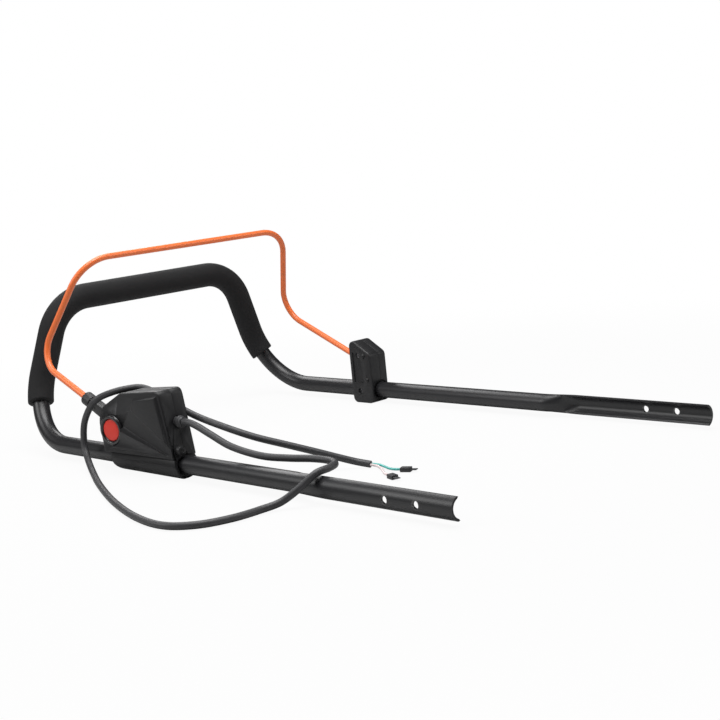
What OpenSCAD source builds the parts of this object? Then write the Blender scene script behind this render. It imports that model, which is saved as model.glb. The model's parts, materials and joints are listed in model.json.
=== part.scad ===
// Lawn mower handle: a bent steel tube with a foam grip, a hinged bail bar,
// a switch box on one arm, a pivot housing on the other and a free cord.
// Millimetres. +X runs along the arms to the mower end, +Y to the far arm, +Z up.
// Origin: middle of the bounding box without the cord, at the height of the housings' underside.

/* [Tube] */
// outside diameter of the bent tube
tube_d = 22; // [18:0.5:28]
// wall of the tube
tube_wall = 1.2; // [1:0.1:2.5]
// distance between the two arm axes
arm_gap = 416.4; // [380:1:460]
// distance between the upper corners of the loop
top_gap = 292; // [240:1:340]
// how far the crossbar stands ahead of the loop's foot
top_x = 12.4; // [0:1:60]
// height of the crossbar axis over the arm axes
top_z = 176.5; // [140:1:220]
// where the near end of each arm stops
arm_end = 766; // [640:1:860]
// centre line radius of the lower bends
low_bend = 84; // [50:1:100]
// centre line radius of the upper bends
top_bend = 62; // [40:1:80]
// where an arm starts to turn half-round
saddle_start = 534; // [500:1:600]
// length of the change from round to half-round
saddle_change = 52; // [30:1:90]
// outer radius of the half-round end
saddle_r = 13; // [11:0.5:16]
// mounting hole diameter
hole_d = 8; // [5:0.5:10]
// first mounting hole along the arm
hole_x = 678; // [620:1:700]
// distance between the two mounting holes
hole_step = 42; // [25:1:50]

/* [Grip] */
// outside diameter of the foam sleeve
foam_d = 34; // [28:1:44]
// share of the lower bend that stays bare
foam_from = 0.7; // [0.5:0.1:1]

/* [Bail] */
// rod diameter of the bail bar
bail_d = 8; // [6:0.5:12]
// pivot place along the arm
pivot_x = 230; // [225:1:236]
// pivot height over the arm axis
pivot_z = 33.7; // [32:0.1:36]
// lower corner of the bail along the arm
knee_x = 53; // [40:1:80]
// lower corner height
knee_z = 108; // [90:1:130]
// upper corner along the arm
brow_x = 120; // [90:1:140]
// upper corner height
brow_z = 232; // [200:1:250]
// distance between the upper corners of the bail
brow_gap = 334; // [300:1:360]
// bend radius of the lower corners
knee_bend = 34; // [20:1:50]
// bend radius of the upper corners
brow_bend = 52; // [30:1:70]
// pivot pin diameter
pin_d = 6; // [5:0.5:8]

/* [Switch box] */
// wall of the two moulded halves
box_wall = 2.5; // [2:0.1:3]
// depth of the outer half at its rear, from the tube axis
box_out = 23.6; // [22:0.2:26]
// depth of the outer half at the gland end, from the tube axis
box_out_front = 17.4; // [17:0.2:19]
// depth of the inner half from the tube axis
box_in = 16; // [15:0.5:18]
// start button diameter
button_d = 26; // [20:1:30]
// how far the button turns toward the gland end
button_tilt = 10; // [0:1:14]

/* [Cord] */
// diameter of the power cord
cord_d = 8; // [6:0.5:9]

/* [Hidden] */
$fn = 48;
half = arm_gap / 2;
tube_r = tube_d / 2;
foam_r = foam_d / 2;
foam_clear = 0.4;
bore_clear = 0.1;
pin_clear = 0.05;
bail_r = bail_d / 2;
pin_r = pin_d / 2;
rest_z = 17;
// corners of the loop on the near side
foot = [0, -half, 0];
head = [top_x, -top_gap / 2, top_z];
// corners of the bail on the near side
pivot = [pivot_x, -half, pivot_z];
knee = [knee_x, -half, knee_z];
brow = [brow_x, -brow_gap / 2, brow_z];
leg_dir = unit(knee - pivot);
// the leg's rise above level, seen from the side
leg_rise = atan2(leg_dir[2], -leg_dir[0]);
// outermost points that fix the origin
button_seat = 21;
ring_tall = 7;
ring_top_r = 16.8;
housing_out = 14;
y_mid = (housing_out - button_seat - ring_top_r * sin(button_tilt) - ring_tall * cos(button_tilt)) / 2;
// rounded corners of the switch box, seen from the side: x, z, radius
box_corners = [[230, -5, 12], [342, -9, 8], [327, 79, 8], [264, 66, 16], [240, 41, 28]];
// rounded corners of the pivot housing
house_corners = [[214, -9, 8], [238, -9, 8], [238, 48, 8], [214, 62, 8]];
button_x = 240;
button_z = 37;
// floor of the box's hollow, above the tube
shelf_z = 13.8;
gland_x = 351;
gland_z = 50;
lever_reach = 82;
socket_from = 60;
tail_x = 262;
tail_top = 40;
spring_x = 257;
spring_top = 66;
box_screw_at = [[330, 66], [228, 60], [318, 22]];
house_screw_at = [[222, 0], [222, 50]];
tube_screw_x = 300;
cord_r = cord_d / 2;
wire_r = 1.4;
// hand-placed route of the cord, gland to sheath end
cord_route = [[gland_x + 0.4, -half, 50], [362, -half, 50], [377, -208, 46.6], [398, -206.5, 38.5],
  [430, -204, 27], [472, -198, 19.5], [505, -188, 17.8], [534, -179, 18], [558, -177, 17.8],
  [575, -185, 17.8], [582, -200, 17.8], [580, -217, 15.5], [571, -233, 3], [559, -248, -8.5],
  [551, -268, -12.3], [548, -304, -12.5], [533, -337, -12.5], [501, -355, -12.5], [446, -349, -12.5],
  [370, -324, -12.5], [290, -289, -12.5], [226, -257, -11.5], [188, -239, -1], [175, -233, 18],
  [182, -233, 42], [200, -232.5, 63], [212, -228, 72.5], [224, -217, 78], [235, -202.5, 80.5],
  [247, -190, 80.5], [264, -184.6, 75.5], [290, -184.5, 67], [338, -185, 53], [386, -183, 43],
  [425, -168, 30], [452, -144.5, 18], [474, -121, 6.5], [491, -101, -3.5], [503.5, -88.5, -9.6],
  [518.3, -81.7, -12.5]];
teal_route = [[518.1, -79.8, -12.6], [527, -76.8, -13.4], [538, -79, -14], [547.5, -82.6, -14],
  [556, -83.2, -14], [563.3, -80.4, -14]];
pale_route = [[519.5, -83.3, -12.6], [529, -82, -13.4], [541, -87.5, -14], [551, -95, -14],
  [561, -102, -14], [571.5, -105.6, -14]];

function unit(v) = v / norm(v);
function mirrored(list) = [for (i = [len(list) - 1:-1:0]) [[list[i][0][0], -list[i][0][1], list[i][0][2]],
  [-list[i][1][0], list[i][1][1], -list[i][1][2]], list[i][2]]];
function turn_of(d1, d2) = acos(d1 * d2);
// stations on a rounded corner: point, direction, half-round share
function corner(p, d1, d2, r, share0, steps) =
  let (turn = turn_of(d1, d2), side = unit(d2 - d1 * (d1 * d2)), start = p - d1 * r * tan(turn / 2))
  [for (i = [0:steps]) let (a = turn * (share0 + (1 - share0) * i / steps))
    [start + r * (sin(a) * d1 + (1 - cos(a)) * side), cos(a) * d1 + sin(a) * side, 0]];
function smooth(s) = s * s * (3 - 2 * s);
function side_of(t) = unit(cross([1, 0, 1], t));
// one ring of a bar, from a list of [outward, up] points
function ring(st, pts) = let (u = side_of(st[1]), w = cross(st[1], u))
  [for (q = pts) st[0] + q[0] * u + q[1] * w];
function circle_pts(r, n) = [for (j = [0:n - 1]) r * [cos(360 * j / n), sin(360 * j / n)]];
function mix(a, b, s) = [for (j = [0:len(a) - 1]) a[j] * (1 - s) + b[j] * s];
// half-round section: arc outside, lips, arc inside
function arc_share(th) = min(th, 180 - th) / 90;
function fold(th, r_face, r_lip, r_back, spread) =
  let (side = th > 180 ? -1 : 1, a = th > 180 ? 360 - th : th,
    r = a < 89 ? r_face : a < 91 ? r_lip : r_back, f = side * spread * arc_share(a))
  [saddle_r_shift + r * cos(f), r * sin(f)];
saddle_r_shift = tube_r - saddle_r;
sides = 20;
half_outer = [for (j = [0:sides - 1]) fold(360 * j / sides, saddle_r, saddle_r - 1.4, saddle_r - 2.8, 78)];
half_inner = [for (j = [0:sides - 1]) fold(360 * j / sides, saddle_r - tube_wall, saddle_r - 1.4,
  saddle_r - 1.6, 71)];
function tube_ring(st, r, flat) = ring(st, mix(circle_pts(r, sides), flat, st[2]));

dir_in = [-1, 0, 0];
dir_up = unit(head - foot);
dir_over = [0, 1, 0];
near_tube = concat(
  [[[arm_end, -half, 0], dir_in, 1]],
  [for (i = [0:6]) [[saddle_start + saddle_change * (1 - i / 6), -half, 0], dir_in, smooth(1 - i / 6)]],
  corner(foot, dir_in, dir_up, low_bend, 0, 10),
  corner(head, dir_up, dir_over, top_bend, 0, 9));
near_foam = concat(
  corner(foot, dir_in, dir_up, low_bend, foam_from, 3),
  corner(head, dir_up, dir_over, top_bend, 0, 9));
dir_rise = unit(brow - knee);
near_bail = concat(
  corner(knee, leg_dir, dir_rise, knee_bend, 0, 7),
  corner(brow, dir_rise, dir_over, brow_bend, 0, 8));
far_pivot = [pivot[0], half, pivot[2]];
// rearmost point of the sleeve, which with the arm ends fixes the origin
x_low = min([for (st = near_foam) for (q = ring(st, circle_pts(foam_r, sides))) q[0]]);
x_mid = (x_low + arm_end) / 2;

// outline of rounded corners joined by straight tangents
function edge_angle(c, i) = let (a = c[i], b = c[(i + 1) % len(c)], d = [b[0] - a[0], b[1] - a[1]])
  atan2(d[1], d[0]) - acos((a[2] - b[2]) / norm(d));
function belt(c, inset, steps = 6) = [for (i = [0:len(c) - 1])
  let (a0 = edge_angle(c, (i + len(c) - 1) % len(c)), b0 = edge_angle(c, i),
    span = (b0 - a0) - 360 * floor((b0 - a0) / 360))
  for (s = [0:steps]) let (a = a0 + span * s / steps)
    [c[i][0] + (c[i][2] - inset) * cos(a), c[i][1] + (c[i][2] - inset) * sin(a)]];
// smooth curve through a route
function curve(p, n) = [for (i = [0:len(p) - 2]) let (a = p[max(i - 1, 0)], b = p[i], c = p[i + 1],
  d = p[min(i + 2, len(p) - 1)])
  for (s = [0:(i == len(p) - 2 ? n : n - 1)]) let (t = s / n)
    0.5 * (2 * b + (c - a) * t + (2 * a - 5 * b + 4 * c - d) * t * t + (3 * b - a - 3 * c + d) * t * t * t)];
function slopes(p) = [for (i = [0:len(p) - 1]) unit(p[min(i + 1, len(p) - 1)] - p[max(i - 1, 0)])];
function carry(t, u, i = 0, out = []) = i == len(t) ? out :
  let (v = unit(u - t[i] * (u * t[i]))) carry(t, v, i + 1, concat(out, [v]));
function join(lists) = [for (l = lists) for (q = l) q];

// solid bar through rings of points
module bar(rings) {
  n = len(rings[0]);
  m = len(rings);
  polyhedron(points = join(rings), convexity = 8, faces = concat(
    [for (i = [0:m - 2]) for (j = [0:n - 1]) [i * n + j, (i + 1) * n + j, (i + 1) * n + (j + 1) % n]],
    [for (i = [0:m - 2]) for (j = [0:n - 1]) [i * n + j, (i + 1) * n + (j + 1) % n, i * n + (j + 1) % n]],
    [[for (j = [0:n - 1]) j]],
    [[for (j = [n - 1:-1:0]) (m - 1) * n + j]]));
}

// hollow bar between an outer and an inner skin
module hollow_bar(outer, inner) {
  n = len(outer[0]);
  m = len(outer);
  k = n * m;
  polyhedron(points = concat(join(outer), join(inner)), convexity = 10, faces = concat(
    [for (i = [0:m - 2]) for (j = [0:n - 1]) [i * n + j, (i + 1) * n + j, (i + 1) * n + (j + 1) % n]],
    [for (i = [0:m - 2]) for (j = [0:n - 1]) [i * n + j, (i + 1) * n + (j + 1) % n, i * n + (j + 1) % n]],
    [for (i = [0:m - 2]) for (j = [0:n - 1]) [k + i * n + j, k + (i + 1) * n + (j + 1) % n,
      k + (i + 1) * n + j]],
    [for (i = [0:m - 2]) for (j = [0:n - 1]) [k + i * n + j, k + i * n + (j + 1) % n,
      k + (i + 1) * n + (j + 1) % n]],
    [for (j = [0:n - 1]) [j, (j + 1) % n, k + (j + 1) % n]],
    [for (j = [0:n - 1]) [j, k + (j + 1) % n, k + j]],
    [for (j = [0:n - 1]) [(m - 1) * n + j, k + (m - 1) * n + (j + 1) % n, (m - 1) * n + (j + 1) % n]],
    [for (j = [0:n - 1]) [(m - 1) * n + j, k + (m - 1) * n + j, k + (m - 1) * n + (j + 1) % n]]));
}

// round line along a route
module line(route, r, n, start) {
  t = slopes(route);
  u = carry(t, start);
  bar([for (i = [0:len(route) - 1]) let (w = cross(t[i], u[i]))
    [for (j = [0:n - 1]) route[i] + r * (cos(360 * j / n) * u[i] + sin(360 * j / n) * w)]]);
}

module placed() {
  translate([-x_mid, -y_mid, rest_z]) children();
}

module rod_y(r, y0, y1, x, z) {
  translate([x, y1, z]) rotate([90, 0, 0]) cylinder(r = r, h = y1 - y0);
}

module rod_x(r, x0, x1, y, z) {
  translate([x0, y, z]) rotate([0, 90, 0]) cylinder(r = r, h = x1 - x0);
}

module slab(points, y0, y1) {
  translate([0, y1, 0]) rotate([90, 0, 0]) linear_extrude(y1 - y0) polygon(points);
}

module block(x0, x1, y0, y1, z0, z1) {
  translate([x0, y0, z0]) cube([x1 - x0, y1 - y0, z1 - z0]);
}

// round piece along the bail's leg, at distances from the pivot
module along_leg(r, from, to) {
  translate([pivot_x, 0, pivot_z]) rotate([0, -90 + leg_rise, 0]) translate([0, 0, from]) cylinder(r = r,
    h = to - from);
}

module near_side() {
  translate([0, -half, 0]) children();
}

module far_side() {
  translate([0, half, 0]) children();
}

module handle_tube() {
  all_st = concat(near_tube, mirrored(near_tube));
  color([0.08, 0.08, 0.09]) placed() difference() {
    hollow_bar([for (st = all_st) tube_ring(st, tube_r, half_outer)],
      [for (st = all_st) tube_ring(st, tube_r - tube_wall, half_inner)]);
    for (x = [hole_x, hole_x + hole_step]) {
      rod_y(hole_d / 2, -half - 30, -half + 30, x, 0);
      rod_y(hole_d / 2, half - 30, half + 30, x, 0);
    }
    rod_y(2.2, -half - 30, -half + 30, tube_screw_x, 0);
    rod_y(2.2, half - 30, half + 30, house_screw_at[0][0], 0);
  }
}

module foam_grip() {
  all_st = concat(near_foam, mirrored(near_foam));
  color([0.05, 0.05, 0.05]) placed() hollow_bar(
    [for (st = all_st) ring(st, circle_pts(foam_r, sides))],
    [for (st = all_st) ring(st, circle_pts(tube_r + foam_clear, sides))]);
}

module bail_bar() {
  near_end = [pivot + leg_dir * (socket_from + 0.3), leg_dir, 0];
  far_end = [far_pivot + leg_dir * 9.3, -leg_dir, 0];
  all_st = concat([near_end], near_bail, mirrored(near_bail), [far_end]);
  color([0.86, 0.36, 0.15]) placed() bar([for (st = all_st) ring(st, circle_pts(bail_r, 12))]);
}

module bail_lever() {
  color([0.1, 0.1, 0.1]) placed() near_side() difference() {
    union() {
      rod_y(9, -6, 6, pivot_x, pivot_z);
      along_leg(8.6, 68, lever_reach);
      translate([pivot_x, 0, pivot_z]) rotate([0, leg_rise, 0]) slab([[-69, -6], [-2, -8], [-2, 8], [-69,
        6]], -5.5, 5.5);
      along_leg(6.2, 56, 70);
      slab([[pivot_x, 28], [tail_x, 32], [tail_x, tail_top], [pivot_x, 39]], -4, 4);
    }
    rod_y(pin_r + pin_clear, -7, 7, pivot_x, pivot_z);
    along_leg(bail_r + pin_clear, socket_from, lever_reach + 1);
  }
}

module bail_eye() {
  color([0.1, 0.1, 0.1]) placed() far_side() difference() {
    union() {
      rod_y(8, -5.8, 5.8, pivot_x, pivot_z);
      along_leg(5.7, 4, 19);
    }
    rod_y(pin_r + pin_clear, -7, 7, pivot_x, pivot_z);
    along_leg(bail_r + pin_clear, 9, 20);
  }
}

module lever_pin() {
  color([0.6, 0.6, 0.62]) placed() near_side() rod_y(pin_r, -14, 12.4, pivot_x, pivot_z);
}

module housing_pin() {
  color([0.6, 0.6, 0.62]) placed() far_side() rod_y(pin_r, -14, 11, pivot_x, pivot_z);
}

module return_spring() {
  turns = 6;
  low = tail_top + 0.7;
  high = spring_top - 0.55;
  coil = [for (i = [0:turns * 10]) [spring_x + 3.6 * cos(36 * i), 3.6 * sin(36 * i),
    low + (high - low) * i / (turns * 10)]];
  color([0.6, 0.6, 0.62]) placed() near_side() line(coil, 0.45, 6, [1, 0, 0]);
}

module box_body() {
  intersection() {
    slab(belt(box_corners, 0), -30, box_in);
    linear_extrude(200, center = true) polygon([[200, -box_out - 0.2], [210, -box_out], [350,
      -box_out_front], [360, -box_out_front], [360, 30], [200, 30]]);
    union() {
      block(200, 360, -30, 30, 9, 95);
      rod_x(17, 200, 360, 0, 0);
    }
  }
}

module box_hollow() {
  intersection() {
    slab(belt(box_corners, box_wall), -box_out_front + box_wall, box_in - box_wall);
    block(200, 360, -30, 30, shelf_z, 95);
  }
}

module box_cuts() {
  rod_x(tube_r + bore_clear, 190, 360, 0, 0);
  rod_x(tube_r + 2, 347, 360, 0, 0);
  rod_x(5.6, 330, 360, 0, gland_z);
  block(205, 219, -7, 7, 25, 51);
}

module raised_facets() {
  // ridge that runs from the button to the lower corner
  polyhedron(points = [[232, -16, 10.5], [346, -16, 11], [264, -16, 46], [238, -27, 16], [338, -20, 13.5],
    [259, -27.5, 38]],
    faces = [[0, 1, 2], [3, 5, 4], [0, 3, 4], [0, 4, 1], [1, 4, 5], [1, 5, 2], [2, 5, 3], [2, 3, 0]]);
  // raised plate behind the second crease
  polyhedron(points = [[270, -16, 62], [346, -16, 18], [332, -16, 83.5], [282, -16, 79],
      [284, -24, 63], [340.5, -20.8, 28], [328.5, -21.4, 79.5], [288, -23.6, 74]],
    faces = [[0, 1, 2], [0, 2, 3], [4, 6, 5], [4, 7, 6], [0, 5, 1], [0, 4, 5], [1, 5, 6], [1, 6, 2],
      [2, 6, 7], [2, 7, 3], [3, 7, 4], [3, 4, 0]]);
}

module switch_box_front() {
  color([0.11, 0.11, 0.12]) placed() near_side() difference() {
    union() {
      difference() {
        union() {
          intersection() {
            box_body();
            block(200, 360, -30, 0, -20, 95);
          }
          raised_facets();
          on_button() rod_y(20, -2.4, 4.5, 0, 0);
        }
        box_hollow();
        on_button() rod_y(18.6, -14, 0, 0, 0);
      }
      intersection() {
        box_hollow();
        union() {
          for (s = box_screw_at) {
            rod_y(4.2, -16, 0, s[0], s[1]);
          }
          rod_y(4.6, -16, -6.5, pivot_x, pivot_z);
          block(250, 264, -16, 0, spring_top, 80);
          block(252.7, 256, -16, -7.5, 30, 46);
        }
      }
      rod_x(4.4, 342, 352.5, -7.5, 18);
    }
    box_cuts();
    rod_y(pin_r + pin_clear, -14.1, 1, pivot_x, pivot_z);
    on_button() rod_y(2.7, -1, 8, 0, 0);
    for (s = box_screw_at) {
      rod_y(1.5, -12, 1, s[0], s[1]);
    }
    rod_y(2.05, -15, 0, tube_screw_x, 0);
  }
}

module switch_box_back() {
  color([0.11, 0.11, 0.12]) placed() near_side() difference() {
    union() {
      difference() {
        intersection() {
          box_body();
          block(200, 360, 0, 30, -20, 95);
        }
        box_hollow();
      }
      intersection() {
        box_hollow();
        union() {
          for (s = box_screw_at) {
            rod_y(5, 0, 14, s[0], s[1]);
          }
          rod_y(5, 6.5, 14, pivot_x, pivot_z);
          block(250, 264, 0, 14, spring_top, 80);
        }
      }
    }
    box_cuts();
    rod_y(pin_r + pin_clear, -1, 12.5, pivot_x, pivot_z);
    for (s = box_screw_at) {
      rod_y(1.8, -1, 18, s[0], s[1]);
      rod_y(3.6, 12, 18, s[0], s[1]);
    }
    rod_y(2.2, -1, 18, tube_screw_x, 0);
    rod_y(4.2, 13, 18, tube_screw_x, 0);
  }
}

// place of the button: its own -Y points out of the box
module on_button() {
  translate([button_x, -button_seat, button_z]) rotate([0, 0, button_tilt]) children();
}

module start_button() {
  color([0.75, 0.12, 0.1]) placed() near_side() on_button() rotate([90, 0, 0]) rotate_extrude()
    polygon([[0, -7.6], [2.5, -7.6], [2.5, 3.4], [button_d / 2, 3.4], [button_d / 2, 5],
      [button_d / 2 - 1, 5.8], [0, 6.3]]);
}

module button_bezel() {
  color([0.03, 0.03, 0.03]) placed() near_side() on_button() rotate([90, 0, 0]) rotate_extrude()
    polygon([[button_d / 2 + 0.2, 0], [18.5, 0], [18.5, ring_tall - 2], [ring_top_r, ring_tall], [14.6,
      ring_tall], [button_d / 2 + 0.2, ring_tall - 1.6]]);
}

module start_switch() {
  color([0.2, 0.2, 0.22]) placed() near_side() block(236.8, 252.5, -10, -6.8, 31, 45);
}

module micro_switch() {
  color([0.2, 0.2, 0.22]) placed() near_side() difference() {
    block(246, 274, -5, 5, shelf_z, 27);
    block(251.9, 256.1, -2.1, 2.1, 22, 28);
    rod_y(1.5, -6, 6, 249, 18);
    rod_y(1.5, -6, 6, 271, 18);
  }
}

module switch_plunger() {
  color([0.8, 0.8, 0.75]) placed() near_side() block(252, 256, -2, 2, 22.2, 30.6);
}

module cable_gland() {
  color([0.05, 0.05, 0.05]) placed() near_side() {
    rod_x(7.2, 331, 335, 0, gland_z);
    rod_x(5.5, 331, gland_x, 0, gland_z);
  }
}

module screw_y(x, z, tip, seat, r, head_r, head_h) {
  rod_y(r, tip, seat + 0.1, x, z);
  difference() {
    rod_y(head_r, seat, seat + head_h, x, z);
    translate([x, seat + head_h - 0.7, z]) rotate([-90, 0, 0]) cylinder(r = head_r * 0.45, h = 2, $fn = 6);
  }
}

module box_screws() {
  color([0.5, 0.5, 0.52]) placed() near_side() for (s = box_screw_at) {
    screw_y(s[0], s[1], -11, 12, 1.5, 3.3, 2.2);
  }
}

module box_tube_screw() {
  color([0.5, 0.5, 0.52]) placed() near_side() screw_y(tube_screw_x, 0, -14.5, 13, 2, 3.8, 2.4);
}

module house_body() {
  slab(belt(house_corners, 0), -18, housing_out);
}

module house_hollow() {
  difference() {
    intersection() {
      slab(belt(house_corners, 3), -6.2, 6.2);
      block(200, 250, -7, 7, 14.5, 80);
    }
    rod_y(4, -8, 8, house_screw_at[1][0], house_screw_at[1][1]);
  }
  block(203, 210, -5.2, 5.2, 27, 50);
}

module house_cuts() {
  rod_x(tube_r + bore_clear, 200, 250, 0, 0);
  rod_x(tube_r + 2, 243, 250, 0, 0);
}

module housing_inner() {
  color([0.1, 0.1, 0.11]) placed() far_side() difference() {
    union() {
      difference() {
        intersection() {
          house_body();
          block(200, 250, -30, 0, -20, 80);
        }
        slab([[212, 12], [230, 12], [230, 44], [212, 55]], -20, -16.4);
      }
      rod_y(3.3, -20.5, -15, 237.5, 16);
      rod_y(3.3, -20.5, -15, 233.5, 49.5);
    }
    house_hollow();
    house_cuts();
    rod_y(pin_r + pin_clear, -14.1, 1, pivot_x, pivot_z);
    for (s = house_screw_at) {
      rod_y(2.2, -20, 1, s[0], s[1]);
      rod_y(4, -20, -13, s[0], s[1]);
    }
  }
}

module housing_outer() {
  color([0.1, 0.1, 0.11]) placed() far_side() difference() {
    intersection() {
      house_body();
      block(200, 250, 0, 30, -20, 80);
    }
    house_hollow();
    house_cuts();
    rod_y(pin_r + pin_clear, -1, 11.1, pivot_x, pivot_z);
    for (s = house_screw_at) {
      rod_y(2.05, -1, 12, s[0], s[1]);
    }
  }
}

module housing_screws() {
  color([0.5, 0.5, 0.52]) placed() far_side() for (s = house_screw_at) {
    rotate([0, 0, 180]) translate([-2 * s[0], 0, 0]) screw_y(s[0], s[1], -11.5, 13, 2, 3.7, 2.4);
  }
}

module power_cord() {
  color([0.1, 0.1, 0.1]) placed() line(curve(cord_route, 2), cord_r, 10, [0, 1, 0]);
}

module teal_wire() {
  color([0.2, 0.6, 0.6]) placed() line(curve(teal_route, 4), wire_r, 8, [0, 0, 1]);
}

module pale_wire() {
  color([0.85, 0.75, 0.75]) placed() line(curve(pale_route, 4), wire_r, 8, [0, 0, 1]);
}

module terminal(x, y, turn) {
  translate([x, y, -14]) rotate([0, 0, turn]) {
    block(0, 12, -4, 4, -2.5, 2.5);
    block(12, 19, -3, 3, -0.5, 0.5);
  }
}

module teal_terminal() {
  color([0.12, 0.12, 0.12]) placed() terminal(563.7, -80.2, 24);
}

module pale_terminal() {
  color([0.12, 0.12, 0.12]) placed() terminal(571.9, -105.7, -17);
}

handle_tube();
foam_grip();
bail_bar();
bail_lever();
bail_eye();
lever_pin();
housing_pin();
return_spring();
switch_box_front();
switch_box_back();
start_button();
button_bezel();
start_switch();
micro_switch();
switch_plunger();
cable_gland();
box_screws();
box_tube_screw();
housing_inner();
housing_outer();
housing_screws();
power_cord();
teal_wire();
pale_wire();
teal_terminal();
pale_terminal();
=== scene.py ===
import json
import math

import bmesh
import bpy
from mathutils import Matrix, Vector
from mathutils.bvhtree import BVHTree


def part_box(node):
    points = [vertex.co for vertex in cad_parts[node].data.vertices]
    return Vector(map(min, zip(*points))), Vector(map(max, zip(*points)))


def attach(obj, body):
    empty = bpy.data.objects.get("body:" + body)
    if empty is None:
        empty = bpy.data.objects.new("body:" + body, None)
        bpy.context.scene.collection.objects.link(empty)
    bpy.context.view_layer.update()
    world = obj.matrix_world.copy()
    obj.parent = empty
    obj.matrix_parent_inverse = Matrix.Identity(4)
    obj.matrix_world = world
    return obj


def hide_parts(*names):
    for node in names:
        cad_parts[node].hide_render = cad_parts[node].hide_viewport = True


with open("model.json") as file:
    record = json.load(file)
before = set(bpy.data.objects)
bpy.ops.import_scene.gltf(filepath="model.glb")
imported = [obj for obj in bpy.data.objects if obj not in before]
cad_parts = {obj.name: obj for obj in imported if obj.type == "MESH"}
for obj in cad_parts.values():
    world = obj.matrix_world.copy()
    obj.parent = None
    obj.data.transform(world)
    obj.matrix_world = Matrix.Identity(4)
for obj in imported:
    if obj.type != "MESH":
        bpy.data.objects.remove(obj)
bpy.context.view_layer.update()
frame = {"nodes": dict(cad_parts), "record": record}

scene = bpy.context.scene

# sizes shared by the pieces, in millimetres, measured from the corner where arm and grip loop would meet
layout = {
    "armEnd": 766.0,
    "half": 208.2,  # from the middle to each arm's axis
    "farFace": 222.2,  # outer face of the far housing
    "axisHeight": 17.0,  # of the arms' axes over the floor
    "holes": (678.0, 720.0),
    "topHalf": 146.0,
    "topX": 12.4,
    "topZ": 176.5,
    "lowBend": 84.0,
    "topBend": 62.0,
}
layout["midX"] = layout["armEnd"] - 1000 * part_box("handle_tube")[1].x
layout["midY"] = layout["farFace"] - 1000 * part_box("housing_outer")[1].y


# millimetres of the layout to metres of the frame
def place(x, y, z):
    return Vector((x - layout["midX"], y - layout["midY"], z + layout["axisHeight"])) / 1000


def newObject(name, data):
    item = bpy.data.objects.new(name, data)
    scene.collection.objects.link(item)
    return item


camera = {
    "at": (1609.2, -1101.7, 334.9),
    "yaw": -0.833,
    "pitch": 0.151,
    "roll": -0.104,
    "focalPixels": 1430.5,
    "widen": 0.96,
    "shiftPixels": 19,
    "imagePixels": 720,
    "sensor": 36,
    "farthest": 50,
}


def makeCamera():
    yaw, pitch, roll = camera["yaw"], camera["pitch"], camera["roll"]
    ahead = Vector((math.sin(yaw) * math.cos(pitch), math.cos(yaw) * math.cos(pitch), -math.sin(pitch)))
    right = Vector((math.cos(yaw), -math.sin(yaw), 0))
    up = right.cross(ahead)
    turnedRight = right * math.cos(roll) + up * math.sin(roll)
    turnedUp = up * math.cos(roll) - right * math.sin(roll)
    data = bpy.data.cameras.new("handleCamera")
    data.sensor_width = camera["sensor"]
    data.lens = camera["sensor"] * camera["focalPixels"] * camera["widen"] / camera["imagePixels"]
    data.shift_x = camera["shiftPixels"] / camera["imagePixels"]
    data.clip_end = camera["farthest"]
    view = newObject("handleCamera", data)
    turn = Matrix((turnedRight, turnedUp, -ahead)).transposed().to_4x4()
    view.matrix_world = Matrix.Translation(place(*camera["at"])) @ turn
    scene.camera = view
    print("camera set")


makeCamera()


# one wrapped socket per value, so that shader maths is written as sums and products
class Value:
    def __init__(self, nodes, socket):
        self.nodes = nodes
        self.socket = socket

    def __add__(self, other):
        return self.nodes.maths("ADD", self, other)

    def __sub__(self, other):
        return self.nodes.maths("SUBTRACT", self, other)

    def __rsub__(self, other):
        return self.nodes.maths("SUBTRACT", other, self)

    def __mul__(self, other):
        return self.nodes.maths("MULTIPLY", self, other)

    __radd__ = __add__
    __rmul__ = __mul__

    def clamp(self):
        return self.nodes.add("ShaderNodeClamp", {}, {"Value": self})

    def smooth(self, low, high):
        return self.nodes.add("ShaderNodeMapRange", {"interpolation_type": "SMOOTHSTEP"},
                              {"Value": self, "From Min": low, "From Max": high})


# add makes a node: its type, its settings, then its sockets' values or links
class Nodes:
    def __init__(self, tree):
        self.tree = tree

    def feed(self, value, socket):
        if isinstance(value, Value):
            self.tree.links.new(value.socket, socket)
        else:
            socket.default_value = value

    def add(self, kind, settings, inputs, output=0):
        node = self.tree.nodes.new(kind)
        for key, value in settings.items():
            setattr(node, key, value)
        pairs = inputs.items() if isinstance(inputs, dict) else enumerate(inputs)
        for key, value in pairs:
            self.feed(value, node.inputs[key])
        return Value(self, node.outputs[output])

    def maths(self, kind, first, second):
        return self.add("ShaderNodeMath", {"operation": kind}, [first, second])


# a Mix node has a set of sockets for each kind of value, and these are the places of its colour set
mixSockets = {"share": 0, "first": 6, "second": 7, "result": 2}


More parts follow.
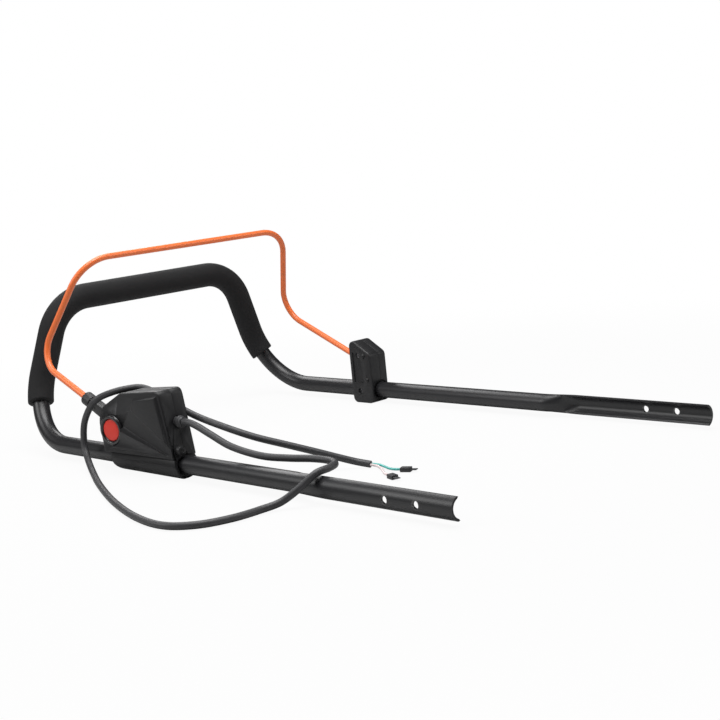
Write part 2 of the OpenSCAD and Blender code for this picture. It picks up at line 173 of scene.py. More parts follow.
# the nodes of a material or a world, round the one that gives its surface
class Shade(Nodes):
    def __init__(self, owner, mainNode, **base):
        owner.use_nodes = True
        super().__init__(owner.node_tree)
        self.owner = owner
        self.main = self.tree.nodes[mainNode]
        self.plug(**base)

    def plug(self, **sockets):
        for key, value in sockets.items():
            self.feed(value, self.main.inputs[key.replace("_", " ")])
        return self.owner

    def noise(self, scale, detail, roughness=0.5, where=None):
        return self.add("ShaderNodeTexNoise", {}, {"Vector": where or self.here, "Scale": scale,
                                                   "Detail": detail, "Roughness": roughness}, "Fac")

    def cells(self, scale):
        return self.add("ShaderNodeTexVoronoi", {"feature": "F1"},
                        {"Vector": self.here, "Scale": scale}, "Distance")

    def stretched(self, factors):
        return self.add("ShaderNodeVectorMath", {"operation": "MULTIPLY"}, [self.here, factors])

    def farFrom(self, point):
        return self.add("ShaderNodeVectorMath", {"operation": "DISTANCE"}, [self.here, tuple(point)], "Value")

    def blend(self, share, first, second):
        inputs = {mixSockets["share"]: share}
        for key, colour in (("first", first), ("second", second)):
            inputs[mixSockets[key]] = colour if isinstance(colour, Value) else (*colour, 1)
        return self.add("ShaderNodeMix", {"data_type": "RGBA"}, inputs, mixSockets["result"])

    def bump(self, height, strength, distance, onTop=None):
        inputs = {"Height": height, "Strength": strength, "Distance": distance}
        if onTop is not None:
            inputs["Normal"] = onTop
        return self.add("ShaderNodeBump", {}, inputs)


def coating(name, **base):
    shade = Shade(bpy.data.materials.new(name), "Principled BSDF", **base)
    shade.here = shade.add("ShaderNodeTexCoord", {}, {}, "Object")
    return shade


powder = {
    "dark": (0.008, 0.008, 0.0092),
    "light": (0.014, 0.014, 0.0158),
    "dust": (0.032, 0.032, 0.034),
    "bareSteel": (0.16, 0.155, 0.15),
    "rough": 0.33,
    "rimOut": 10.0,  # how far the holes' rims lie outside the arm's axis, in millimetres
    "bareTo": 4.2,  # bare this far from a hole's middle
    "coatedFrom": 5.8,
}


def powderCoat():
    s = coating("blackPowderCoat", Coat_Weight=0.0, IOR=1.5)
    peel = s.noise(900, 2)
    broad = s.noise(14, 4)
    dust = s.noise(240, 5, 0.6).smooth(0.64, 0.8)
    colour = s.blend(broad, powder["dark"], powder["light"])
    colour = s.blend(dust * 0.25, colour, powder["dust"])
    rough = powder["rough"] + broad * 0.1 + dust * 0.12
    # bare metal shows at the rims of the mounting holes
    bareTo, coatedFrom = powder["bareTo"] / 1000, powder["coatedFrom"] / 1000
    out = layout["half"] + powder["rimOut"]
    spots = [place(x, side * out, 0) for side in (-1, 1) for x in layout["holes"]]
    near = [1 - s.farFrom(spot).smooth(bareTo, coatedFrom) for spot in spots]
    rims = sum(near[1:], near[0])
    chipped = (rims * s.noise(420, 4).smooth(0.42, 0.6)).clamp()
    colour = s.blend(chipped * 0.55, colour, powder["bareSteel"])
    return s.plug(Base_Color=colour, Roughness=rough, Normal=s.bump(peel, 0.025, 0.0002))


closedCell = {
    "dark": (0.006, 0.006, 0.0064),
    "light": (0.011, 0.011, 0.0118),
    "pale": (0.022, 0.022, 0.024),
    "rough": 0.72,
}


def foamSkin():
    s = coating("closedCellFoam", Specular_IOR_Level=0.32)
    pores = s.cells(1500)
    fine = s.noise(3200, 3, 0.6)
    broad = s.noise(38, 4)
    colour = s.blend(broad, closedCell["dark"], closedCell["light"])
    colour = s.blend(fine.smooth(0.5, 0.8) * 0.5, colour, closedCell["pale"])
    waves = s.bump(broad, 0.25, 0.0012)
    return s.plug(Base_Color=colour, Roughness=closedCell["rough"] + broad * 0.14,
                  Normal=s.bump(pores + fine * 0.6, 0.5, 0.0004, waves))


orange = {
    "deep": (0.82, 0.16, 0.036),
    "bright": (0.88, 0.19, 0.048),
    "rubbed": (0.7, 0.12, 0.028),
    "rough": 0.34,
}


def orangeCoat():
    s = coating("orangeCoat", Coat_Weight=0.0)
    broad = s.noise(22, 4)
    peel = s.noise(350, 2)
    rub = s.noise(110, 4, 0.6).smooth(0.6, 0.8)
    colour = s.blend(rub * 0.18, s.blend(broad, orange["deep"], orange["bright"]), orange["rubbed"])
    return s.plug(Base_Color=colour, Roughness=orange["rough"] + rub * 0.1,
                  Normal=s.bump(peel, 0.012, 0.0002))


# moulded plastics by slot; grain is how fine the surface is, and strength how deep it shows
plastics = {
    "lever_plastic": {"name": "leverPlastic", "dark": (0.009, 0.009, 0.0098), "light": (0.015, 0.015, 0.0162),
                      "rough": 0.46, "grain": 1800, "strength": 0.18, "shine": 0.5},
    "box_plastic": {"name": "sparkedPlastic", "dark": (0.007, 0.007, 0.0078), "light": (0.012, 0.012, 0.0132),
                    "rough": 0.42, "grain": 1500, "strength": 0.22, "shine": 0.4},
    "switch_plastic": {"name": "plainPlastic", "dark": (0.02, 0.02, 0.022), "light": (0.03, 0.03, 0.032),
                       "rough": 0.5, "grain": 2200, "strength": 0.15, "shine": 0.5},
    "pale_plastic": {"name": "palePlastic", "dark": (0.5, 0.5, 0.46), "light": (0.58, 0.58, 0.54),
                     "rough": 0.5, "grain": 2200, "strength": 0.1, "shine": 0.5},
}


def grainedPlastic(name, dark, light, rough, grain, strength, shine):
    s = coating(name, Specular_IOR_Level=shine)
    spark = s.noise(grain, 4, 0.6)
    broad = s.noise(26, 4)
    specks = s.noise(grain * 0.45, 2).smooth(0.6, 0.72)
    colour = s.blend(specks * 0.35, s.blend(broad, dark, light), tuple(2.6 * c for c in light))
    return s.plug(Base_Color=colour, Roughness=rough + broad * 0.08 - specks * 0.08,
                  Normal=s.bump(spark, strength, 0.0004))


redCap = {"deep": (0.68, 0.026, 0.012), "bright": (0.76, 0.036, 0.017), "rough": 0.42}


def redPlastic():
    s = coating("redPlastic", Coat_Weight=0.0)
    broad = s.noise(120, 3)
    return s.plug(Base_Color=s.blend(broad, redCap["deep"], redCap["bright"]),
                  Roughness=redCap["rough"] + broad * 0.08, Normal=s.bump(s.noise(1900, 2), 0.1, 0.0003))


gloss = {"dark": (0.008, 0.008, 0.009), "light": (0.014, 0.014, 0.015), "rough": 0.2}


def glossRing():
    s = coating("glossRing", Coat_Weight=0.3)
    broad = s.noise(150, 3)
    return s.plug(Base_Color=s.blend(broad, gloss["dark"], gloss["light"]),
                  Roughness=gloss["rough"] + broad * 0.1)


covers = {
    "cord_rubber": {"name": "cordCover", "dark": (0.028, 0.028, 0.03), "light": (0.042, 0.042, 0.045),
                    "rough": 0.5},
    "teal_cover": {"name": "tealCover", "dark": (0.06, 0.36, 0.33), "light": (0.1, 0.46, 0.42),
                   "rough": 0.4},
    "pale_cover": {"name": "paleCover", "dark": (0.62, 0.5, 0.5), "light": (0.75, 0.66, 0.66),
                   "rough": 0.4},
}


def rubberCover(name, dark, light, rough):
    s = coating(name)
    broad = s.noise(55, 4)
    scuff = s.noise(700, 5, 0.7).smooth(0.55, 0.75)
    colour = s.blend(scuff * 0.25, s.blend(broad, dark, light), tuple(1.7 * c for c in light))
    return s.plug(Base_Color=colour, Roughness=rough + scuff * 0.1,
                  Normal=s.bump(s.noise(1300, 3), 0.15, 0.0003))


steel = {
    "dark": (0.1, 0.1, 0.105),
    "light": (0.17, 0.17, 0.175),
    "worn": (0.32, 0.32, 0.33),
    "rough": 0.34,
    "brushing": (1, 0.15, 1),
}


def screwSteel():
    s = coating("screwSteel", Metallic=1.0)
    brushed = s.noise(900, 3, 0.6, s.stretched(steel["brushing"]))
    worn = s.noise(260, 4, 0.6).smooth(0.5, 0.7)
    colour = s.blend(worn * 0.5, s.blend(brushed, steel["dark"], steel["light"]), steel["worn"])
    return s.plug(Base_Color=colour, Roughness=steel["rough"] + brushed * 0.16,
                  Normal=s.bump(brushed, 0.08, 0.0002))


finish = {
    "powder_coat": powderCoat(),
    "foam": foamSkin(),
    "orange_coat": orangeCoat(),
    "red_plastic": redPlastic(),
    "gloss_black": glossRing(),
    "bright_steel": screwSteel(),
}
for slotName, look in plastics.items():
    finish[slotName] = grainedPlastic(**look)
for slotName, look in covers.items():
    finish[slotName] = rubberCover(**look)
print("finishes made:", len(finish))


def dress(mesh, slotName):
    mesh.materials.clear()
    mesh.materials.append(finish[slotName])


def addPiece(name, mesh, body, slotName, *stoodFor):
    piece = newObject(name, mesh)
    dress(mesh, slotName)
    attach(piece, body)
    if stoodFor:
        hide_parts(*stoodFor)
    return piece


def smoothByAngle(mesh, degrees):
    mesh.polygons.foreach_set("use_smooth", [True] * len(mesh.polygons))
    mesh.set_sharp_from_angle(angle=math.radians(degrees))


# the mesh that an object's modifiers make of it; the object itself goes
def settle(item):
    bpy.context.view_layer.update()
    mesh = bpy.data.meshes.new_from_object(item.evaluated_get(bpy.context.evaluated_depsgraph_get()))
    item.modifiers.clear()
    bpy.data.objects.remove(item)
    return mesh


# a round bar that follows a line, made by Geometry Nodes
def barTree():
    tree = bpy.data.node_groups.new("barAlongLine", "GeometryNodeTree")
    face = tree.interface
    face.new_socket("Line", in_out="INPUT", socket_type="NodeSocketGeometry")
    sockets = {}
    for name, kind in (("Radius", "Float"), ("Sides", "Int"), ("Finish", "Material")):
        sockets[name] = face.new_socket(name, in_out="INPUT", socket_type="NodeSocket" + kind).identifier
    face.new_socket("Bar", in_out="OUTPUT", socket_type="NodeSocketGeometry")
    bar = Nodes(tree)
    start, end = tree.nodes.new("NodeGroupInput"), tree.nodes.new("NodeGroupOutput")
    given = {socket.name: Value(bar, socket) for socket in start.outputs}
    curve = bar.add("GeometryNodeMeshToCurve", {}, [given["Line"]])
    circle = bar.add("GeometryNodeCurvePrimitiveCircle", {},
                     {"Radius": given["Radius"], "Resolution": given["Sides"]}, "Curve")
    sweep = bar.add("GeometryNodeCurveToMesh", {},
                    {"Curve": curve, "Profile Curve": circle, "Fill Caps": True})
    real = bar.add("GeometryNodeRealizeInstances", {}, [sweep])
    painted = bar.add("GeometryNodeSetMaterial", {}, {"Geometry": real, "Material": given["Finish"]})
    bar.feed(painted, end.inputs["Bar"])
    return tree, sockets


barNodes, barSockets = barTree()


def lineBar(points, radius, sides, slotName):
    line = bpy.data.meshes.new("line")
    line.from_pydata([tuple(p) for p in points], [(i, i + 1) for i in range(len(points) - 1)], [])
    carrier = newObject("lineCarrier", line)
    made = carrier.modifiers.new("bar", "NODES")
    made.node_group = barNodes
    for name, value in (("Radius", radius), ("Sides", sides), ("Finish", finish[slotName])):
        made[barSockets[name]] = value
    mesh = settle(carrier)
    smoothByAngle(mesh, degrees=50)
    return mesh


# a Catmull-Rom curve through given points
def smoothLine(points, steps):
    out = []
    for i in range(len(points) - 1):
        a, b = points[max(i - 1, 0)], points[i]
        c, d = points[i + 1], points[min(i + 2, len(points) - 1)]
        for s in range(steps):
            t = s / steps
            out.append(0.5 * (2 * b + (c - a) * t + (2 * a - 5 * b + 4 * c - d) * t * t
                              + (3 * b - a - 3 * c + d) * t ** 3))
    return out + [points[-1]]


def lengthOf(points):
    return sum((b - a).length for a, b in zip(points, points[1:]))


# how a moulding's copy is rounded, with lengths in metres and angles in degrees
rounding = {
    "merge": 2e-6,
    "flat": 1,
    "sharp": 28,
    "onPlane": 1e-4,
    "segments": 3,
    "farthest": 0.0009,
    "smooth": 35,
}
# each moulding is its CAD solid with rounded edges: its piece, body and slot, then the rounding
# of its outline and of its other edges, in millimetres
softEdges = {
    "switch_box_front": ("switchBoxFront", "handle", "box_plastic", 2.0, 0.35),
    "switch_box_back": ("switchBoxBack", "handle", "box_plastic", 2.0, 0.35),
    "housing_inner": ("housingInner", "handle", "box_plastic", 2.0, 0.35),
    "housing_outer": ("housingOuter", "handle", "box_plastic", 2.0, 0.35),
    "bail_lever": ("bailLever", "bail", "lever_plastic", 0.8, 0.5),
    "bail_eye": ("bailEye", "bail", "lever_plastic", 0.5, 0.3),
    "start_button": ("startButton", "button", "red_plastic", 0.5, 0.3),
    "button_bezel": ("buttonRing", "handle", "gloss_black", 0.4, 0.3),
}
# edges on the plane where two mouldings meet keep the slight rounding, so that only a fine seam shows
seams = {
    "switch_box_front": -layout["half"],
    "switch_box_back": -layout["half"],
    "housing_inner": layout["half"],
    "housing_outer": layout["half"],
}
# the button travels in this round seat, which stays as it is in the solid
buttonSeat = {"node": "switch_box_front", "centre": (240.0, -229.2, 37.0), "radius": 21.5}
# flat faces round these holes aren't merged: the pin's, and the bail's socket
leverHoles = {
    "node": "bail_lever",
    "pin": {"centre": (230.0, -layout["half"], 33.7), "radius": 11.5},
    "socket": {"centre": (166.9, -layout["half"], 59.1), "radius": 11.0},
}


def clearOf(edges, spot):
    middle, reach = place(*spot["centre"]), spot["radius"] / 1000
    return [e for e in edges if min((v.co - middle).length for v in e.verts) > reach]


def roundable(work, node):
    edges = list(work.edges)
    return clearOf(edges, buttonSeat) if node == buttonSeat["node"] else edges


def mergeable(work, node):
    edges = roundable(work, node)
    if node == leverHoles["node"]:
        edges = clearOf(clearOf(edges, leverHoles["pin"]), leverHoles["socket"])
    return edges


# gives each sharp edge its share of the outline's rounding
def shareEdges(work, node, seam, slight):
    hull = bmesh.new()
    for vert in work.verts:
        hull.verts.new(vert.co)
    bmesh.ops.convex_hull(hull, input=hull.verts)
    shell = BVHTree.FromBMesh(hull)
    hull.free()
    layer = work.edges.layers.float.new("bevel_weight_edge")
    for edge in roundable(work, node):
        if len(edge.link_faces) != 2 or edge.calc_face_angle(0) < math.radians(rounding["sharp"]):
            continue
        middle = (edge.verts[0].co + edge.verts[1].co) / 2
        onHull = shell.find_nearest(middle)[3] < rounding["onPlane"]
        outlined = onHull and edge.calc_face_angle_signed(0) > 0
        onSeam = seam is not None and abs(middle.y - seam) < rounding["onPlane"]
        edge[layer] = 1.0 if outlined and not onSeam else slight


# a corner that the rounding throws off a thin wall goes back to the moulding's surface
def keepClose(mesh, surface):
    for vert in mesh.vertices:
        near, _, _, distance = surface.find_nearest(vert.co)
        if distance > rounding["farthest"]:
            vert.co = near


def soften(node, name, body, slotName, wide, slight):
    mesh = frame["nodes"][node].data.copy()
    work = bmesh.new()
    work.from_mesh(mesh)
    bmesh.ops.remove_doubles(work, verts=work.verts, dist=rounding["merge"])
    surface = BVHTree.FromBMesh(work)
    flat = mergeable(work, node)
    ends = list({v for e in flat for v in e.verts})
    bmesh.ops.dissolve_limit(work, angle_limit=math.radians(rounding["flat"]), verts=ends, edges=flat)
    seam = place(0, seams[node], 0).y if node in seams else None
    shareEdges(work, node, seam, slight / wide)
    work.to_mesh(mesh)
    work.free()
    rough = newObject("rough", mesh)
    edge = rough.modifiers.new("edge", "BEVEL")
    edge.width, edge.segments, edge.limit_method = wide / 1000, rounding["segments"], "WEIGHT"
    edge.use_clamp_overlap = False
    edge.miter_outer = "MITER_ARC"
    made = settle(rough)
    keepClose(made, surface)
    smoothByAngle(made, degrees=rounding["smooth"])
    return addPiece(name, made, body, slotName, node)


powerCord = {
    "diameter": 0.008,
    "sides": 20,
    "steps": 8,
    "route": [(351.4, -208.2, 50), (362, -208.2, 50), (377, -208, 46.6), (398, -206.5, 38.5),
              (430, -204, 27), (472, -198, 19.5), (505, -188, 17.8), (534, -179, 18), (558, -177, 17.8),
              (575, -185, 17.8), (582, -200, 17.8), (580, -217, 15.5), (571, -233, 3),
              (559, -248, -8.5), (551, -268, -12.3), (548, -304, -12.5), (533, -337, -12.5),
              (501, -355, -12.5), (446, -349, -12.5), (370, -324, -12.5), (290, -289, -12.5),
              (226, -257, -11.5), (188, -239, -1), (175, -233, 18), (182, -233, 42), (200, -232.5, 63),
              (212, -228, 72.5), (224, -217, 78), (235, -202.5, 80.5), (247, -190, 80.5),
              (264, -184.6, 75.5), (290, -184.5, 67), (338, -185, 53), (386, -183, 43), (425, -168, 30),
              (452, -144.5, 18), (474, -121, 6.5), (491, -101, -3.5), (503.5, -88.5, -9.6),
              (518.3, -81.7, -12.5)],
}
wires = {
    "diameter": 0.0028,
    "sides": 14,
    "steps": 8,
    "routes": {
        "teal": [(518.1, -79.8, -12.6), (527, -76.8, -13.4), (538, -79, -14), (547.5, -82.6, -14),
                 (556, -83.2, -14), (563.3, -80.4, -14)],
        "pale": [(519.5, -83.3, -12.6), (529, -82, -13.4), (541, -87.5, -14), (551, -95, -14),
                 (561, -102, -14), (571.5, -105.6, -14)],
    },
    # rounded as the mouldings are
    "terminals": {
        "teal": ("teal_terminal", "tealTerminal", "handle", "switch_plastic", 0.5, 0.2),
        "pale": ("pale_terminal", "paleTerminal", "handle", "switch_plastic", 0.5, 0.2),
    },
}


def makePowerCord():
    path = smoothLine([place(*p) for p in powerCord["route"]], powerCord["steps"])
    mesh = lineBar(path, powerCord["diameter"] / 2, powerCord["sides"], "cord_rubber")
    cord = addPiece("powerCord", mesh, "handle", "cord_rubber", "power_cord")
    lengthOf(path)
    print("power cord", round(lengthOf(path), 3), "m")


def makeWire(colour):
    path = smoothLine([place(*p) for p in wires["routes"][colour]], wires["steps"])
    mesh = lineBar(path, wires["diameter"] / 2, wires["sides"], colour + "_cover")
    wire = addPiece(colour + "Wire", mesh, "handle", colour + "_cover", colour + "_wire")
    terminal = soften(*wires["terminals"][colour])
    lengthOf(path)
    print(colour, "wire", round(lengthOf(path), 3), "m")


makePowerCord()
for colour in wires["routes"]:
    makeWire(colour)


# stations round a bend in the corner at point: place, heading and share of the folded section
def corner(point, goIn, goOut, radius, steps, share=0.0):
    turn = math.acos(goIn.dot(goOut))
    side = (goOut - goIn * goIn.dot(goOut)).normalized()
    start = point - goIn * radius * math.tan(turn / 2)
    out = []
    for i in range(steps + 1):
        a = turn * (share + (1 - share) * i / steps)
        out.append((start + radius * (math.sin(a) * goIn + (1 - math.cos(a)) * side),
                    math.cos(a) * goIn + math.sin(a) * side, 0.0))
    return out


def mirrored(stations):
    return [(Vector((p.x, -p.y, p.z)), Vector((-t.x, t.y, -t.z)), m) for p, t, m in reversed(stations)]


def loopCorners():
    foot = Vector((0, -layout["half"], 0))
    head = Vector((layout["topX"], -layout["topHalf"], layout["topZ"]))
    return foot, head, Vector((-1, 0, 0)), (head - foot).normalized(), Vector((0, 1, 0))


def ring(station, points):
    p, t, _ = station
    u = Vector((1, 0, 1)).cross(t).normalized()
    w = t.cross(u)
    return [p + a * u + b * w for a, b in points]


def circlePoints(radius, count):
    return [(radius * math.cos(2 * math.pi * j / count), radius * math.sin(2 * math.pi * j / count))
            for j in range(count)]


def mixPoints(first, second, share):
    return [(a[0] * (1 - share) + b[0] * share, a[1] * (1 - share) + b[1] * share)
            for a, b in zip(first, second)]


# a hollow skin through rings of points, with a flat rim at each end
def skinMesh(name, outer, inner):
    count, rings = len(outer[0]), len(outer)
    points = [p for r in outer + inner for p in r]
    inside = count * rings
    faces = []
    for i in range(rings - 1):
        for j in range(count):
            k = (j + 1) % count
            a, b = i * count, (i + 1) * count
            faces.append((a + j, a + k, b + k, b + j))
            faces.append((inside + a + j, inside + b + j, inside + b + k, inside + a + k))
    last = (rings - 1) * count
    for j in range(count):
        k = (j + 1) % count
        faces.append((j, inside + j, inside + k, k))
        faces.append((last + j, last + k, inside + last + k, inside + last + j))
    mesh = bpy.data.meshes.new(name)
    mesh.from_pydata([tuple(place(*p)) for p in points], [], faces)
    return mesh


tube = {
    "radius": 11.0,
    "wall": 1.2,
    "sides": 64,
    "saddleStart": 534.0,
    "saddleChange": 52.0,
    "saddleRadius": 13.0,
    # radii of the folded section's face, lip and back, and the degrees that it spans each way
    "outerFold": {"face": 13.0, "lip": 11.6, "back": 10.2, "spread": 78},
    "innerFold": {"face": 11.8, "lip": 11.6, "back": 11.4, "spread": 71},
    "lipDegrees": 9,
    "lipReach": 0.02,
    "saddleStations": (740, 700, 660, 620),
    "plainStations": (480, 400, 320, 240, 160),
    "changeSteps": 26,
    "lowSteps": 36,
    "topSteps": 30,
    "holeRadius": 4.0,
    "screwRadius": 2.2,
    "nearScrew": 300.0,
    "farScrew": 222.0,
    "smooth": 40,
}
# the drill that cuts across an arm, with its length in metres
drill = {"sides": 48, "length": 0.06}


# the tube's section in the saddle: a wall that folds back on itself at both lips
def foldedPoints(face, lip, back, spread):
    out = []
    for j in range(tube["sides"]):
        angle = 360 * j / tube["sides"]
        side = -1 if angle > 180 else 1
        angle = 360 - angle if angle > 180 else angle
        share = min(angle, 180 - angle) / 90
        bend = max(0.0, 1 - abs(angle - 90) / tube["lipDegrees"])
        radius = (face if angle < 90 else back) * (1 - bend) + lip * bend
        f = math.radians(spread * (share + tube["lipReach"] * bend)) * side
        out.append((tube["radius"] - tube["saddleRadius"] + radius * math.cos(f), radius * math.sin(f)))
    return out


# from the near arm's end round the loop to the far arm's end
def tubeStations():
    foot, head, goIn, goUp, goOver = loopCorners()
    along = [(layout["armEnd"], 1.0)] + [(x, 1.0) for x in tube["saddleStations"]]
    for i in range(tube["changeSteps"] + 1):
        s = 1 - i / tube["changeSteps"]
        along.append((tube["saddleStart"] + tube["saddleChange"] * s, s * s * (3 - 2 * s)))
    along += [(x, 0.0) for x in tube["plainStations"]]
    out = [(Vector((x, foot.y, 0)), goIn, folded) for x, folded in along]
    out += corner(foot, goIn, goUp, layout["lowBend"], tube["lowSteps"])
    out += corner(head, goUp, goOver, layout["topBend"], tube["topSteps"])
    return out + mirrored(out)


def cutRound(piece, radius, x, y):
    bpy.ops.mesh.primitive_cylinder_add(vertices=drill["sides"], radius=radius / 1000, depth=drill["length"],
                                        location=place(x, y, 0), rotation=(math.pi / 2, 0, 0))
    cutter = bpy.context.object
    cut = piece.modifiers.new("hole", "BOOLEAN")
    cut.operation, cut.solver, cut.object = "DIFFERENCE", "EXACT", cutter
    return cutter


def makeTube():
    stations = tubeStations()
    outerRound = circlePoints(tube["radius"], tube["sides"])
    innerRound = circlePoints(tube["radius"] - tube["wall"], tube["sides"])
    outerFold, innerFold = foldedPoints(**tube["outerFold"]), foldedPoints(**tube["innerFold"])
    mesh = skinMesh("bentTube", [ring(s, mixPoints(outerRound, outerFold, s[2])) for s in stations],
                    [ring(s, mixPoints(innerRound, innerFold, s[2])) for s in stations])
    raw = newObject("rawTube", mesh)
    near, far = -layout["half"], layout["half"]
    cutters = [cutRound(raw, tube["holeRadius"], x, y) for y in (near, far) for x in layout["holes"]]
    cutters.append(cutRound(raw, tube["screwRadius"], tube["nearScrew"], near))
    cutters.append(cutRound(raw, tube["screwRadius"], tube["farScrew"], far))
    drilled = settle(raw)
    for item in cutters:
        bpy.data.objects.remove(item)
    smoothByAngle(drilled, degrees=tube["smooth"])
    addPiece("bentTube", drilled, "handle", "powder_coat", "handle_tube")
    print("tube drilled", len(drilled.polygons))


makeTube()


foam = {
    "radius": 17.0,
    "clear": 0.4,
    "sides": 64,
    "bare": 0.7,  # share of the low bend that it leaves bare
    "lowSteps": 14,
    "topSteps": 34,
    "round": 2.2,
    "lipRings": 5,
    "smooth": 60,
}


def makeFoam():
    foot, head, goIn, goUp, goOver = loopCorners()
    line = corner(foot, goIn, goUp, layout["lowBend"], foam["lowSteps"], foam["bare"])
    line += corner(head, goUp, goOver, layout["topBend"], foam["topSteps"])
    line += mirrored(line)
    steps, lip = foam["lipRings"], foam["round"]
    stations, radii = [], []
    # the lip is a quarter round at each end
    for end, way in ((line[0], 1), (line[-1], -1)):
        rolled = []
        for k in range(steps):
            a = math.pi / 2 * k / steps
            centre = end[0] + end[1] * way * lip * (1 - math.cos(a))
            rolled.append(((centre, end[1], 0), foam["radius"] - lip * (1 - math.sin(a))))
        if way == 1:
            rolled += [(station, foam["radius"]) for station in line[1:-1]]
        else:
            rolled.reverse()
        stations += [item[0] for item in rolled]
        radii += [item[1] for item in rolled]
    bore = circlePoints(tube["radius"] + foam["clear"], foam["sides"])
    mesh = skinMesh("foamSleeve", [ring(s, circlePoints(r, foam["sides"])) for s, r in zip(stations, radii)],
                    [ring(s, bore) for s in stations])
    smoothByAngle(mesh, degrees=foam["smooth"])
    sleeve = addPiece("foamSleeve", mesh, "handle", "foam", "foam_grip")
    print("foam sleeve", len(mesh.polygons))


makeFoam()


bail = {
    "radius": 4.0,
    "sides": 32,
    "pivot": (230.0, -layout["half"], 33.7),
    "knee": (53.0, -layout["half"], 108.0),
    "brow": (120.0, -167.0, 232.0),
    "kneeBend": 34.0,
    "browBend": 52.0,
    "kneeSteps": 16,
    "browSteps": 18,
    # the rod starts this far from each pivot, in the lever's socket and in the eye
    "socketFrom": 60.3,
    "eyeFrom": 9.3,
}


def makeBail():
    knee, brow, pivot = Vector(bail["knee"]), Vector(bail["brow"]), Vector(bail["pivot"])
    away, rise, over = (knee - pivot).normalized(), (brow - knee).normalized(), Vector((0, 1, 0))
    line = corner(knee, away, rise, bail["kneeBend"], bail["kneeSteps"])
    line += corner(brow, rise, over, bail["browBend"], bail["browSteps"])
    farPivot = Vector((pivot.x, -pivot.y, pivot.z))
    points = [pivot + away * bail["socketFrom"]]
    points += [station[0] for station in line + mirrored(line)]
    points.append(farPivot + away * bail["eyeFrom"])
    mesh = lineBar([place(*p) for p in points], bail["radius"] / 1000, bail["sides"], "orange_coat")
    addPiece("bailBar", mesh, "bail", "orange_coat", "bail_bar")
    print("bail bar", len(mesh.polygons))


makeBail()

for node, spec in softEdges.items():
    soften(node, *spec)
    print("moulding", spec[0])


# turned pieces along x, in millimetres: the y and z of the axis, then a profile of x and radius
turned = {
    "cableGland": {
        "axis": (-layout["half"], 50.0),
        "profile": [(331, 0), (331, 7.2), (335, 7.2), (335, 5.6), (343.4, 5.6), (343.8, 6.7), (346.2, 6.9),
                    (347, 6.3), (347.4, 5.5), (348.4, 5.4), (348.8, 6), (350, 5.8), (351, 5), (351, 0)],
        "slot": "cord_rubber",
        "standsFor": ["cable_gland"],
    },
    "boxKnob": {
        "axis": (-layout["half"] - 7.5, 18.0),
        "profile": [(345, 0), (345, 5.3), (351.4, 5.3), (352.6, 4.8), (353.2, 3.8), (353.3, 2.2),
                    (352.7, 1.8), (352.7, 0)],
        "slot": "box_plastic",
        "standsFor": [],
    },
}
lathe = {"sides": 48, "merge": 1e-6, "smooth": 30}


def turnPiece(name, spec):
    y, z = spec["axis"]
    sides = lathe["sides"]
    points = []
    for x, radius in spec["profile"]:
        points += [tuple(place(x, y + a, z + b)) for a, b in circlePoints(radius, sides)]
    faces = []
    for i in range(len(spec["profile"]) - 1):
        a, b = i * sides, (i + 1) * sides
        faces += [(a + j, b + j, b + (j + 1) % sides, a + (j + 1) % sides) for j in range(sides)]
    mesh = bpy.data.meshes.new(name)
    mesh.from_pydata(points, [], faces)
    work = bmesh.new()
    work.from_mesh(mesh)
    bmesh.ops.remove_doubles(work, verts=work.verts, dist=lathe["merge"])
    bmesh.ops.recalc_face_normals(work, faces=work.faces)
    work.to_mesh(mesh)
    work.free()
    smoothByAngle(mesh, degrees=lathe["smooth"])
    addPiece(name, mesh, "handle", spec["slot"], *spec["standsFor"])


for name, spec in turned.items():
    turnPiece(name, spec)
print("turned pieces made:", len(turned))

# carried-over CAD nodes get their finish
for item in frame["record"]["subparts"]:
    dress(frame["nodes"][item["node"]].data, item["material_slot"])


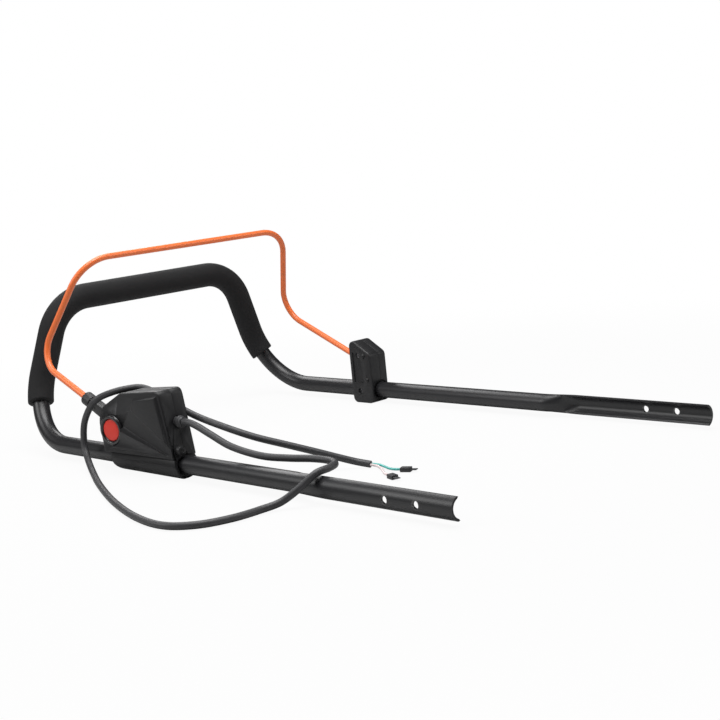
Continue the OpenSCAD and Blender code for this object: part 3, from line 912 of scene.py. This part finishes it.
studio = {
    "floorSize": 14.0,
    "floorTone": 0.5,
    "floorRough": 0.9,
    "world": 0.07,
    # camera rays see the floor's own glow, which reaches plain white further off
    "glowNear": 0.93,
    "glowFrom": 0.45,
    "glowTo": 1.3,
    "lamps": {
        "topSoftbox": {"at": (0.1, -0.15, 1.7), "width": 1.3, "power": 40},
        "frontSoftbox": {"at": (-0.9, -1.4, 1.0), "width": 0.8, "power": 11},
        "rearSoftbox": {"at": (-1.5, 0.5, 1.2), "width": 1.0, "power": 14},
        "farSoftbox": {"at": (1.4, 1.2, 0.9), "width": 0.8, "power": 7},
    },
    "lampsLookAt": (0.0, 0.0, 0.1),
}


def makeFloor():
    size = studio["floorSize"]
    mesh = bpy.data.meshes.new("paleFloor")
    corners = [(-size, -size, 0), (size, -size, 0), (size, size, 0), (-size, size, 0)]
    mesh.from_pydata(corners, [], [(0, 1, 2, 3)])
    floor = newObject("paleFloor", mesh)
    s = coating("palePaper", Roughness=studio["floorRough"], Base_Color=(*[studio["floorTone"]] * 3, 1))
    ray = s.add("ShaderNodeLightPath", {}, {}, "Is Camera Ray")
    far = s.farFrom((0, 0, 0)).smooth(studio["glowFrom"], studio["glowTo"])
    share = ray * (studio["glowNear"] + (1 - studio["glowNear"]) * far)
    paper, glow = Value(s, s.main.outputs[0]), s.add("ShaderNodeEmission", {}, {})
    surface = s.add("ShaderNodeMixShader", {}, [share, paper, glow])
    s.feed(surface, s.tree.nodes["Material Output"].inputs[0])
    mesh.materials.append(s.owner)


# camera rays see plain white, and the object a dim room
def makeWorld():
    scene.world = bpy.data.worlds.new("studio")
    s = Shade(scene.world, "Background", Color=(1, 1, 1, 1))
    ray = s.add("ShaderNodeLightPath", {}, {}, "Is Camera Ray")
    s.plug(Strength=s.add("ShaderNodeMapRange", {}, {"Value": ray, "To Min": studio["world"], "To Max": 1.0}))


def makeLamps():
    for name, spec in studio["lamps"].items():
        data = bpy.data.lights.new(name, "AREA")
        data.shape, data.size, data.energy = "SQUARE", spec["width"], spec["power"]
        lamp = newObject(name, data)
        look = Vector(studio["lampsLookAt"]) - Vector(spec["at"])
        lamp.location, lamp.rotation_euler = spec["at"], look.to_track_quat("-Z", "Y").to_euler()


def makeStudio():
    makeFloor()
    makeWorld()
    makeLamps()
    scene.view_settings.view_transform = "Standard"
    print("studio lit")


makeStudio()
